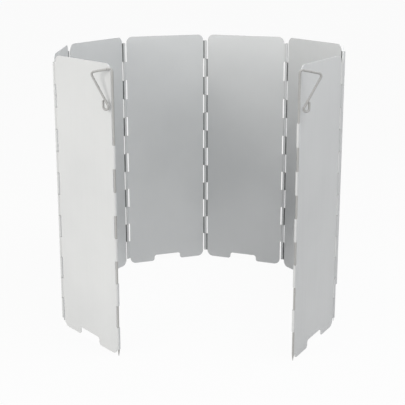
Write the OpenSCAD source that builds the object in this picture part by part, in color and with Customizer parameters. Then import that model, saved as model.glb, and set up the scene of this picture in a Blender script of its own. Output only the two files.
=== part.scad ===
// Folding stove windscreen: eight aluminium panels joined edge to edge by piano hinges,
// standing as an open ring, with a bent wire clip in the knuckles of each free edge.
// Panels and hinges are numbered round the ring, from the free edge at the front left
// to the free edge at the front right. Sizes are in millimetres and angles in degrees.

/* [Panels] */
// Distance between the hinge axes on the two long edges of a panel
panel_pitch = 88; // [60:1:120]
// Height of a panel from the floor to its top edge
panel_h = 240; // [160:1:300]
// Thickness of the aluminium sheet
sheet_t = 0.5; // [0.4:0.05:0.7]
// Radius of the outer corners of a panel
corner_r = 6; // [3:0.5:10]

/* [Air notch] */
// Width of the air notch between the two feet of a panel
notch_w = 29; // [16:1:40]
// Height of the air notch
notch_h = 6.4; // [4:0.2:12]
// Largest fillet radius at the feet and at the top of the notch
notch_r = 2.6; // [1:0.1:4]

/* [Hinges] */
// Diameter of the hinge pins and of the clip wires
pin_d = 1.8; // [1.4:0.1:2.2]
// Radial clearance of a pin in its knuckles
pin_clearance = 0.05; // [0.02:0.01:0.1]
// Number of knuckle rows on a hinge
knuckle_rows = 12; // [6:2:16]
// Plain sheet above the top knuckle and below the bottom one
hinge_margin = 6; // [3:0.5:12]
// Gap along the pin between neighbouring knuckles
row_gap = 0.4; // [0.2:0.1:1]
// Gap between a knuckle and the edge of the facing panel
edge_gap = 1.4; // [0.6:0.1:2]
// Distance of a hinge axis from the middle of the sheet
axis_offset = 0.4; // [0.3:0.05:0.5]
// Slit between the rolled lip of a knuckle and its sheet
curl_slit = 0.45; // [0.3:0.05:0.6]

/* [Ring] */
// Direction in which the fourth panel runs, measured from the X axis
back_heading = 20; // [-20:1:60]
// Inward turn at hinge 1
turn_1 = 39; // [20:1:50]
// Inward turn at hinge 2
turn_2 = 31; // [20:1:50]
// Inward turn at hinge 3
turn_3 = 39; // [20:1:50]
// Inward turn at hinge 4
turn_4 = 42; // [20:1:50]
// Inward turn at hinge 5
turn_5 = 37; // [20:1:50]
// Inward turn at hinge 6
turn_6 = 40; // [20:1:50]
// Inward turn at hinge 7
turn_7 = 21; // [20:1:50]

/* [Clip wires] */
// Angle between the left clip and the outer face of its panel
left_swing = 28; // [24:1:90]
// Angle between the right clip and the outer face of its panel
right_swing = 40; // [24:1:90]
// Straight length of the leg at the top of a clip
clip_leg = 14; // [8:1:30]
// Slope of the leg below the horizontal
clip_slope = 12; // [0:1:20]
// Straight length of the arm that runs back down to the hook
clip_arm = 26; // [20:1:28]
// Angle between the arm and the vertical
clip_arm_lean = 31; // [25:1:33]
// Bend radius of the two upper bends, at the middle of the wire
clip_bend_r = 2.2; // [1.2:0.1:3]
// Radius of the hook, at the middle of the wire
hook_r = 2.3; // [1.5:0.1:4]
// Straight tail of the hook
hook_tail = 5; // [1:0.5:8]
// Length of the point at the lower end of a clip
tip_h = 5; // [2:0.5:6]
// Clear height of the first bend above the hinge rows
clip_rise = 0.4; // [0.2:0.1:2]
// Hinge rows left bare at the top of a free edge, where the clip is
bare_rows = 2; // [0:2:4]

/* [Hidden] */
$fn = 48;

turns = [turn_1, turn_2, turn_3, turn_4, turn_5, turn_6, turn_7];
panel_count = len(turns) + 1;
back_panel = 4;

bore_r = pin_d / 2 + pin_clearance;
knuckle_r = bore_r + sheet_t;
// Distance of a panel's long edge from the hinge axis beside it
edge_x = knuckle_r + edge_gap;
// Where the rolled lip ends, measured from the hinge axis
lip_x = 0.7 * bore_r;
hinge_h = panel_h - 2 * hinge_margin;
hinge_top = panel_h - hinge_margin;
row_h = hinge_h / knuckle_rows;
// The notch fillets fit between the floor and the top of the notch
fillet_r = min(notch_r, notch_h / 2);
// Length by which cutting shapes run past the face that they cut
cut_past = 1;
pin_chamfer = 0.2;
tip_d = 0.4;
// The wire swells a little where a bend begins and ends
bend_swell = 0.1;

// The axes lie inside the sheet at odd hinges and outside it at even ones,
// so that the panels can be folded flat on each other, to and fro
function side(hinge) = hinge % 2 == 1 ? -1 : 1;

// Direction in which a panel runs, from its left edge to its right edge
function heading(panel) =
    panel == back_panel ? back_heading
    : panel < back_panel ? heading(panel + 1) + turns[panel - 1]
    : heading(panel - 1) - turns[panel - 2];

function turned(v, a) = [v.x * cos(a) - v.y * sin(a), v.x * sin(a) + v.y * cos(a)];

// Plan position of a hinge axis, with the left free edge at zero
function chain(hinge) =
    hinge == 0 ? [0, 0]
    : chain(hinge - 1) + turned(
        [panel_pitch, (side(hinge) - side(hinge - 1)) * axis_offset],
        heading(hinge)
    );

chain_points = [for (hinge = [0 : panel_count]) chain(hinge)];
chain_x = [for (p = chain_points) p.x];
chain_y = [for (p = chain_points) p.y];
// The origin is on the floor, in the middle of the ring's own box
ring_centre = [min(chain_x) + max(chain_x), min(chain_y) + max(chain_y)] / 2;
axes = [for (p = chain_points) p - ring_centre];

// What is left outside a rounded corner whose two edges meet at the origin
module corner_waste(r) {
    difference() {
        translate([-cut_past, -cut_past])
            square(r + cut_past);
        translate([r, r])
            circle(r);
    }
}

// The air notch, from the middle of the panel to one side
module half_notch() {
    half_w = notch_w / 2;
    difference() {
        translate([0, -cut_past])
            square([half_w, notch_h + cut_past]);
        translate([half_w, notch_h])
            mirror([1, 1])
                corner_waste(fillet_r);
    }
    translate([half_w, 0])
        corner_waste(fillet_r);
}

// Outline of a flat panel between its two hinges, seen from outside the ring
module sheet_outline() {
    flat_w = panel_pitch - 2 * edge_x;
    difference() {
        square([flat_w, panel_h]);
        for (right = [0, 1], top = [0, 1])
            translate([right * flat_w, top * panel_h])
                mirror([right, 0])
                    mirror([0, top])
                        corner_waste(corner_r);
        for (right = [0, 1])
            translate([flat_w / 2, 0])
                mirror([right, 0])
                    half_notch();
    }
}

// Cross-section of a rolled knuckle about its axis; the sheet leaves it along +X
module knuckle_section(sheet_y) {
    inner_face = sheet_y - sheet_t / 2;
    difference() {
        union() {
            circle(knuckle_r);
            translate([0, inner_face])
                square([edge_x + sheet_t, sheet_t]);
        }
        circle(bore_r);
        translate([lip_x, inner_face - curl_slit])
            square([edge_x, curl_slit]);
    }
}

// The knuckles along one edge of a panel, every second row from first_row down
module knuckle_row(first_row, sheet_y) {
    for (row = [first_row : 2 : knuckle_rows])
        translate([0, 0, hinge_top - row * row_h + row_gap / 2])
            linear_extrude(row_h - row_gap)
                knuckle_section(sheet_y);
}

module panel(number) {
    left_y = side(number - 1) * axis_offset;
    right_y = side(number) * axis_offset;
    left_bare = number == 1 ? bare_rows : 0;
    right_bare = number == panel_count ? bare_rows : 0;
    color("gainsboro")
        translate(axes[number - 1])
            rotate([0, 0, heading(number)])
                translate([0, -left_y, 0]) {
                    translate([edge_x, sheet_t / 2, 0])
                        rotate([90, 0, 0])
                            linear_extrude(sheet_t)
                                sheet_outline();
                    translate([0, left_y, 0])
                        knuckle_row(2 + left_bare, -left_y);
                    translate([panel_pitch, right_y, 0])
                        mirror([1, 0, 0])
                            knuckle_row(1 + right_bare, -right_y);
                }
}

module hinge_pin(number) {
    color("darkgray")
        translate([axes[number].x, axes[number].y, hinge_margin]) {
            cylinder(d1 = pin_d - 2 * pin_chamfer, d2 = pin_d, h = pin_chamfer);
            translate([0, 0, pin_chamfer])
                cylinder(d = pin_d, h = hinge_h - 2 * pin_chamfer);
            translate([0, 0, hinge_h - pin_chamfer])
                cylinder(d1 = pin_d, d2 = pin_d - 2 * pin_chamfer, h = pin_chamfer);
        }
}

// A round bend that starts along +Z and turns towards +X
module wire_bend(angle, radius) {
    translate([radius, 0, 0])
        mirror([1, 0, 0])
            rotate([90, 0, 0])
                rotate_extrude(angle = angle)
                    translate([radius, 0])
                        circle(d = pin_d);
}

// A bent wire: each run is [straight length, bend angle, bend radius],
// and a negative angle bends the other way
module bent_wire(runs, first = 0) {
    run = runs[first];
    turn = sign(run[1]);
    cylinder(d = pin_d, h = run[0]);
    translate([0, 0, run[0]])
        if (turn != 0) {
            sphere(d = pin_d + bend_swell);
            mirror([turn < 0 ? 1 : 0, 0, 0])
                wire_bend(abs(run[1]), run[2]);
            translate([turn * run[2] * (1 - cos(run[1])), 0, run[2] * sin(abs(run[1]))])
                rotate([0, run[1], 0]) {
                    sphere(d = pin_d + bend_swell);
                    bent_wire(runs, first + 1);
                }
        }
}

// Straight shank with a point, then leg, arm and hook in the plane of +X
module clip_wire() {
    shank = hinge_top + clip_rise - tip_h;
    cylinder(d1 = tip_d, d2 = pin_d, h = tip_h);
    translate([0, 0, tip_h])
        bent_wire([
            [shank, 90 + clip_slope, clip_bend_r],
            [clip_leg, 90 - clip_slope + clip_arm_lean, clip_bend_r],
            [clip_arm, -180 - clip_arm_lean, hook_r],
            [hook_tail, 0, 0]
        ]);
}

module left_clip_wire() {
    color("lightgray")
        translate(axes[0])
            rotate([0, 0, heading(1) + left_swing])
                clip_wire();
}

module right_clip_wire() {
    color("lightgray")
        translate(axes[panel_count])
            rotate([0, 0, heading(panel_count) + 180 - right_swing])
                clip_wire();
}

for (number = [1 : panel_count])
    panel(number);
for (number = [1 : panel_count - 1])
    hinge_pin(number);
left_clip_wire();
right_clip_wire();
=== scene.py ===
import math

import bpy
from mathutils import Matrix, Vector


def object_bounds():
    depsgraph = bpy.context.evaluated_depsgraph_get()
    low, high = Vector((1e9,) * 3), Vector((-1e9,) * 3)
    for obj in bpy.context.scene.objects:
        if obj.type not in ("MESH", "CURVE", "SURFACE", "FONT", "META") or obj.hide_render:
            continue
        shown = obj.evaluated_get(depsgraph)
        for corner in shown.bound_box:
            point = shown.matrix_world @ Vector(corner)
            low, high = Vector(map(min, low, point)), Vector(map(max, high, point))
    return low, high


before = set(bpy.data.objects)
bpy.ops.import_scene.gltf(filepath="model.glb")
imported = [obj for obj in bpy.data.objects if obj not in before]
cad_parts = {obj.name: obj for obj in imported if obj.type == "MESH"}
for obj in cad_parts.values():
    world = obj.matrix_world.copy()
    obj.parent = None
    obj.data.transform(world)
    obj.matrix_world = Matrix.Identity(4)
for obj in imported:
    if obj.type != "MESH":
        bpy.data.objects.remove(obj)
cad_low, cad_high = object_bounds()

# Photograph frame and camera: pixels, millimetres for the sensor, metres and degrees
FRAME_PX = 405
FOCAL_PX = 929.3
SHIFT_PX = 22.0
SENSOR_MM = 36.0
CAMERA_PLACE = (-0.0058, -0.8356, 0.3241)
CAMERA_PITCH = 13.89
CAMERA_YAW = -0.19
LEVEL_TILT = 90.0

# Studio: sizes and places in metres, power in watts
WHITE = (1.0, 1.0, 1.0, 1.0)
FLOOR_SIZE = 30.0
FLOOR_COLOUR = (0.36, 0.36, 0.36, 1.0)
FLOOR_GLOW = 0.95
WORLD_GLOW = 1.0
WORLD_LEVEL = 0.53
WARM = (1.0, 0.98, 0.935)
COOL = (0.97, 0.99, 1.0)
LAMPS = {
    "key_left": {"place": (-1.4, -1.0, 0.62), "size": 1.2, "power": 32.0, "tint": WARM},
    "fill_front": {"place": (0.6, -1.7, 1.6), "size": 1.4, "power": 2.0, "tint": COOL},
    "top_near": {"place": (0.21, -0.17, 0.75), "size": 0.4, "power": 5.4, "tint": COOL},
}
# The lamps point at the middle of the part
LAMP_TARGET = (Vector(cad_low) + Vector(cad_high)) / 2

# The back hinge joins the two back panels, whose bends look lighter in the photograph
# Their bends get a lighter grey painted shade than the other panels
BACK_PIN = "hinge_pin_4"
BACK_PANELS = ("panel_4", "panel_5")
# Painted shade on the bend between a knuckle and its sheet, in place of the bend's shadow: distance
# from the axis, half width and colours
BEND_PLACE = 0.0022
BEND_HALF_WIDTH = 0.0006
BEND_PAINTED_SHADE_DARK = (0.08, 0.085, 0.085, 1.0)
BEND_PAINTED_SHADE_GREY = (0.17, 0.175, 0.175, 1.0)
# Keeps X and Y of a point and drops its height
PLAN_MASK = (1.0, 1.0, 0.0)

# Metals: two tints and two roughness levels, share of metal, grain stretch and grain depth in metres
ALUMINIUM = {
    "tints": ((0.55, 0.558, 0.562, 1.0), (0.59, 0.597, 0.6, 1.0)),
    "roughness": (0.34, 0.44), "metallic": 0.4,
    "stretch": (900.0, 900.0, 12.0), "depth": 0.00002,
}
STEEL = {
    "tints": ((0.36, 0.358, 0.35, 1.0), (0.43, 0.427, 0.418, 1.0)),
    "roughness": (0.26, 0.34), "metallic": 0.6,
    "stretch": (1400.0, 1400.0, 40.0), "depth": 0.000002,
}
# Noise: clouds are even in all directions, and the grain's scale is in its stretch
CLOUD_STRETCH = (1.0, 1.0, 1.0)
CLOUD_SCALE = 14.0
CLOUD_DETAIL = 4.0
GRAIN_SCALE = 1.0
GRAIN_DETAIL = 2.0
GRAIN_STRENGTH = 0.25
# Noise values at which a ramp starts and ends
RAMP_START = 0.3
RAMP_END = 0.7
# Edges sharper than this angle, in degrees, stay sharp
SMOOTH_ANGLE = 30.0


def socket(node, name, value):
    node.inputs[name].default_value = value


def grey(level):
    return (level, level, level, 1.0)


def math_node(tree, operation, *values):
    """A Math node whose inputs are numbers or the outputs of other nodes."""
    node = tree.nodes.new("ShaderNodeMath")
    node.operation = operation
    for slot, value in zip(node.inputs, values):
        if isinstance(value, (int, float)):
            slot.default_value = value
        else:
            tree.links.new(value, slot)
    return node.outputs["Value"]


def vector_node(tree, operation, vector, other):
    """A Vector Math node that takes one output and either a fixed vector or another output."""
    node = tree.nodes.new("ShaderNodeVectorMath")
    node.operation = operation
    tree.links.new(vector, node.inputs[0])
    if isinstance(other, tuple):
        node.inputs[1].default_value = other
    else:
        tree.links.new(other, node.inputs[1])
    return node


def new_material(name):
    """An empty node material with its output, ready for a shader."""
    material = bpy.data.materials.new(name)
    material.use_nodes = True
    tree = material.node_tree
    tree.nodes.clear()
    output = tree.nodes.new("ShaderNodeOutputMaterial")
    return material, tree, output


def noise_factor(tree, coords, stretch, scale, detail):
    """Noise along the object's own axes, stretched by one factor for each axis."""
    mapping = tree.nodes.new("ShaderNodeMapping")
    socket(mapping, "Scale", stretch)
    tree.links.new(coords, mapping.inputs["Vector"])
    noise = tree.nodes.new("ShaderNodeTexNoise")
    socket(noise, "Scale", scale)
    socket(noise, "Detail", detail)
    tree.links.new(mapping.outputs["Vector"], noise.inputs["Vector"])
    return noise.outputs["Fac"]


def ramp(tree, factor, low, high):
    """Maps a noise factor to a range of grey levels or colours."""
    node = tree.nodes.new("ShaderNodeValToRGB")
    start, end = node.color_ramp.elements
    start.position = RAMP_START
    end.position = RAMP_END
    start.color = low
    end.color = high
    tree.links.new(factor, node.inputs["Fac"])
    return node.outputs["Color"]


def hinge_axis(pin_name):
    """Plan place of a hinge axis, at the middle of its pin's box."""
    corners = [Vector(corner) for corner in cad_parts[pin_name].bound_box]
    middle = sum(corners, Vector()) / len(corners)
    return middle.x, middle.y


def hinge_distance(tree, plan, axes):
    """Distance from the nearest of some hinge axes, in plan."""
    nearest = None
    for x, y in axes:
        reach = vector_node(tree, "DISTANCE", plan, (x, y, 0.0)).outputs["Value"]
        nearest = reach if nearest is None else math_node(tree, "MINIMUM", nearest, reach)
    return nearest


def paint_shade_on_bends(tree, texture, colour, axes, painted_bend_shade):
    """Paints shade on the narrow bend between a knuckle and its sheet, on the inner side of the
    ring: a dark colour in place of the bend's shadow.
    """
    plan = vector_node(tree, "MULTIPLY", texture.outputs["Object"], PLAN_MASK).outputs["Vector"]
    nearest = hinge_distance(tree, plan, axes)
    at_bend = math_node(tree, "COMPARE", nearest, BEND_PLACE, BEND_HALF_WIDTH)
    outward = vector_node(tree, "DOT_PRODUCT", texture.outputs["Normal"], plan).outputs["Value"]
    inner = math_node(tree, "LESS_THAN", outward, 0.0)
    shaded = tree.nodes.new("ShaderNodeMixRGB")
    tree.links.new(math_node(tree, "MULTIPLY", at_bend, inner), shaded.inputs["Fac"])
    tree.links.new(colour, shaded.inputs["Color1"])
    socket(shaded, "Color2", painted_bend_shade)
    return shaded.outputs["Color"]


def metal(name, look, axes=(), painted_bend_shade=None):
    """Rolled or drawn metal: cloudy tint, patchy gloss and a fine grain along Z, with painted shade
    on the hinge bends when hinge axes are given.
    """
    material, tree, output = new_material(name)
    shader = tree.nodes.new("ShaderNodeBsdfPrincipled")
    tree.links.new(shader.outputs["BSDF"], output.inputs["Surface"])
    texture = tree.nodes.new("ShaderNodeTexCoord")
    coords = texture.outputs["Object"]
    clouds = noise_factor(tree, coords, CLOUD_STRETCH, CLOUD_SCALE, CLOUD_DETAIL)
    tint = ramp(tree, clouds, *look["tints"])
    if axes:
        # Painted shade: the bends beside the hinge axes get a dark colour
        tint = paint_shade_on_bends(tree, texture, tint, axes, painted_bend_shade)
    tree.links.new(tint, shader.inputs["Base Color"])
    grain = noise_factor(tree, coords, look["stretch"], GRAIN_SCALE, GRAIN_DETAIL)
    rough = ramp(tree, grain, *(grey(level) for level in look["roughness"]))
    tree.links.new(rough, shader.inputs["Roughness"])
    bump = tree.nodes.new("ShaderNodeBump")
    socket(bump, "Strength", GRAIN_STRENGTH)
    socket(bump, "Distance", look["depth"])
    tree.links.new(grain, bump.inputs["Height"])
    tree.links.new(bump.outputs["Normal"], shader.inputs["Normal"])
    socket(shader, "Metallic", look["metallic"])
    return material


def dress(node, material):
    """Gives a CAD node its material and smooth shading on its round surfaces."""
    node.data.materials.clear()
    node.data.materials.append(material)
    for face in node.data.polygons:
        face.use_smooth = True
    node.data.set_sharp_from_angle(angle=math.radians(SMOOTH_ANGLE))


def dress_part():
    """Aluminium on the panels with painted shade on their hinge bends, steel on the hinge pins and
    the clip wires.
    """
    all_axes = [hinge_axis(name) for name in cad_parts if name.startswith("hinge_pin")]
    side_sheet = metal("satin_aluminium", ALUMINIUM, all_axes, BEND_PAINTED_SHADE_DARK)
    # The back panels get a copy of the aluminium whose painted bend shade is a lighter grey
    back_sheet = metal("satin_aluminium_back", ALUMINIUM, [hinge_axis(BACK_PIN)], BEND_PAINTED_SHADE_GREY)
    steel = metal("drawn_steel", STEEL)
    for name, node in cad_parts.items():
        if name in BACK_PANELS:
            dress(node, back_sheet)
        elif name.startswith("panel"):
            dress(node, side_sheet)
        else:
            dress(node, steel)


def background_rays(tree, share):
    """One share for rays that show the background: camera, glossy and transmission rays."""
    path = tree.nodes.new("ShaderNodeLightPath")
    total = path.outputs["Is Camera Ray"]
    for kind in ("Is Glossy Ray", "Is Transmission Ray"):
        total = math_node(tree, "MAXIMUM", total, path.outputs[kind])
    return math_node(tree, "MULTIPLY", total, share)


def white_stage_material():
    """White floor that still shows the object's shadow."""
    material, tree, output = new_material("studio_floor")
    diffuse = tree.nodes.new("ShaderNodeBsdfDiffuse")
    socket(diffuse, "Color", FLOOR_COLOUR)
    glow = tree.nodes.new("ShaderNodeEmission")
    mix = tree.nodes.new("ShaderNodeMixShader")
    tree.links.new(background_rays(tree, FLOOR_GLOW), mix.inputs["Fac"])
    tree.links.new(diffuse.outputs["BSDF"], mix.inputs[1])
    tree.links.new(glow.outputs["Emission"], mix.inputs[2])
    tree.links.new(mix.outputs["Shader"], output.inputs["Surface"])
    return material


def add_floor():
    bpy.ops.mesh.primitive_plane_add(size=FLOOR_SIZE, location=(0.0, 0.0, 0.0))
    floor = bpy.context.object
    floor.name = "studio_floor"
    floor.data.materials.append(white_stage_material())


def add_world():
    """White to the camera and to reflections, and a plain soft light for the rest."""
    world = bpy.data.worlds.new("studio_world")
    bpy.context.scene.world = world
    world.use_nodes = True
    tree = world.node_tree
    tree.nodes.clear()
    output = tree.nodes.new("ShaderNodeOutputWorld")
    backdrop = tree.nodes.new("ShaderNodeBackground")
    socket(backdrop, "Color", WHITE)
    light = tree.nodes.new("ShaderNodeBackground")
    socket(light, "Color", WHITE)
    socket(light, "Strength", WORLD_LEVEL)
    mix = tree.nodes.new("ShaderNodeMixShader")
    tree.links.new(background_rays(tree, WORLD_GLOW), mix.inputs["Fac"])
    tree.links.new(light.outputs["Background"], mix.inputs[1])
    tree.links.new(backdrop.outputs["Background"], mix.inputs[2])
    tree.links.new(mix.outputs["Shader"], output.inputs["Surface"])


def add_lamps():
    """Square area lamps, which show neither to the camera nor in reflections."""
    for name, lamp in LAMPS.items():
        data = bpy.data.lights.new(name, "AREA")
        data.shape = "SQUARE"
        data.size = lamp["size"]
        data.energy = lamp["power"]
        data.color = lamp["tint"]
        light = bpy.data.objects.new(name, data)
        bpy.context.scene.collection.objects.link(light)
        light.location = lamp["place"]
        light.visible_camera = False
        light.visible_glossy = False
        aim = LAMP_TARGET - Vector(lamp["place"])
        light.rotation_euler = aim.to_track_quat("-Z", "Y").to_euler()


def add_camera():
    """The photograph's view: slightly above the part, with a small upward shift of the picture."""
    data = bpy.data.cameras.new("camera")
    data.sensor_width = SENSOR_MM
    data.lens = FOCAL_PX / FRAME_PX * SENSOR_MM
    data.shift_y = -SHIFT_PX / FRAME_PX
    camera = bpy.data.objects.new("camera", data)
    bpy.context.scene.collection.objects.link(camera)
    camera.location = CAMERA_PLACE
    tilt = math.radians(LEVEL_TILT - CAMERA_PITCH)
    camera.rotation_euler = (tilt, 0.0, math.radians(CAMERA_YAW))
    bpy.context.scene.camera = camera


bpy.context.scene.view_settings.view_transform = "Standard"
add_camera()
add_world()
add_lamps()
add_floor()
dress_part()
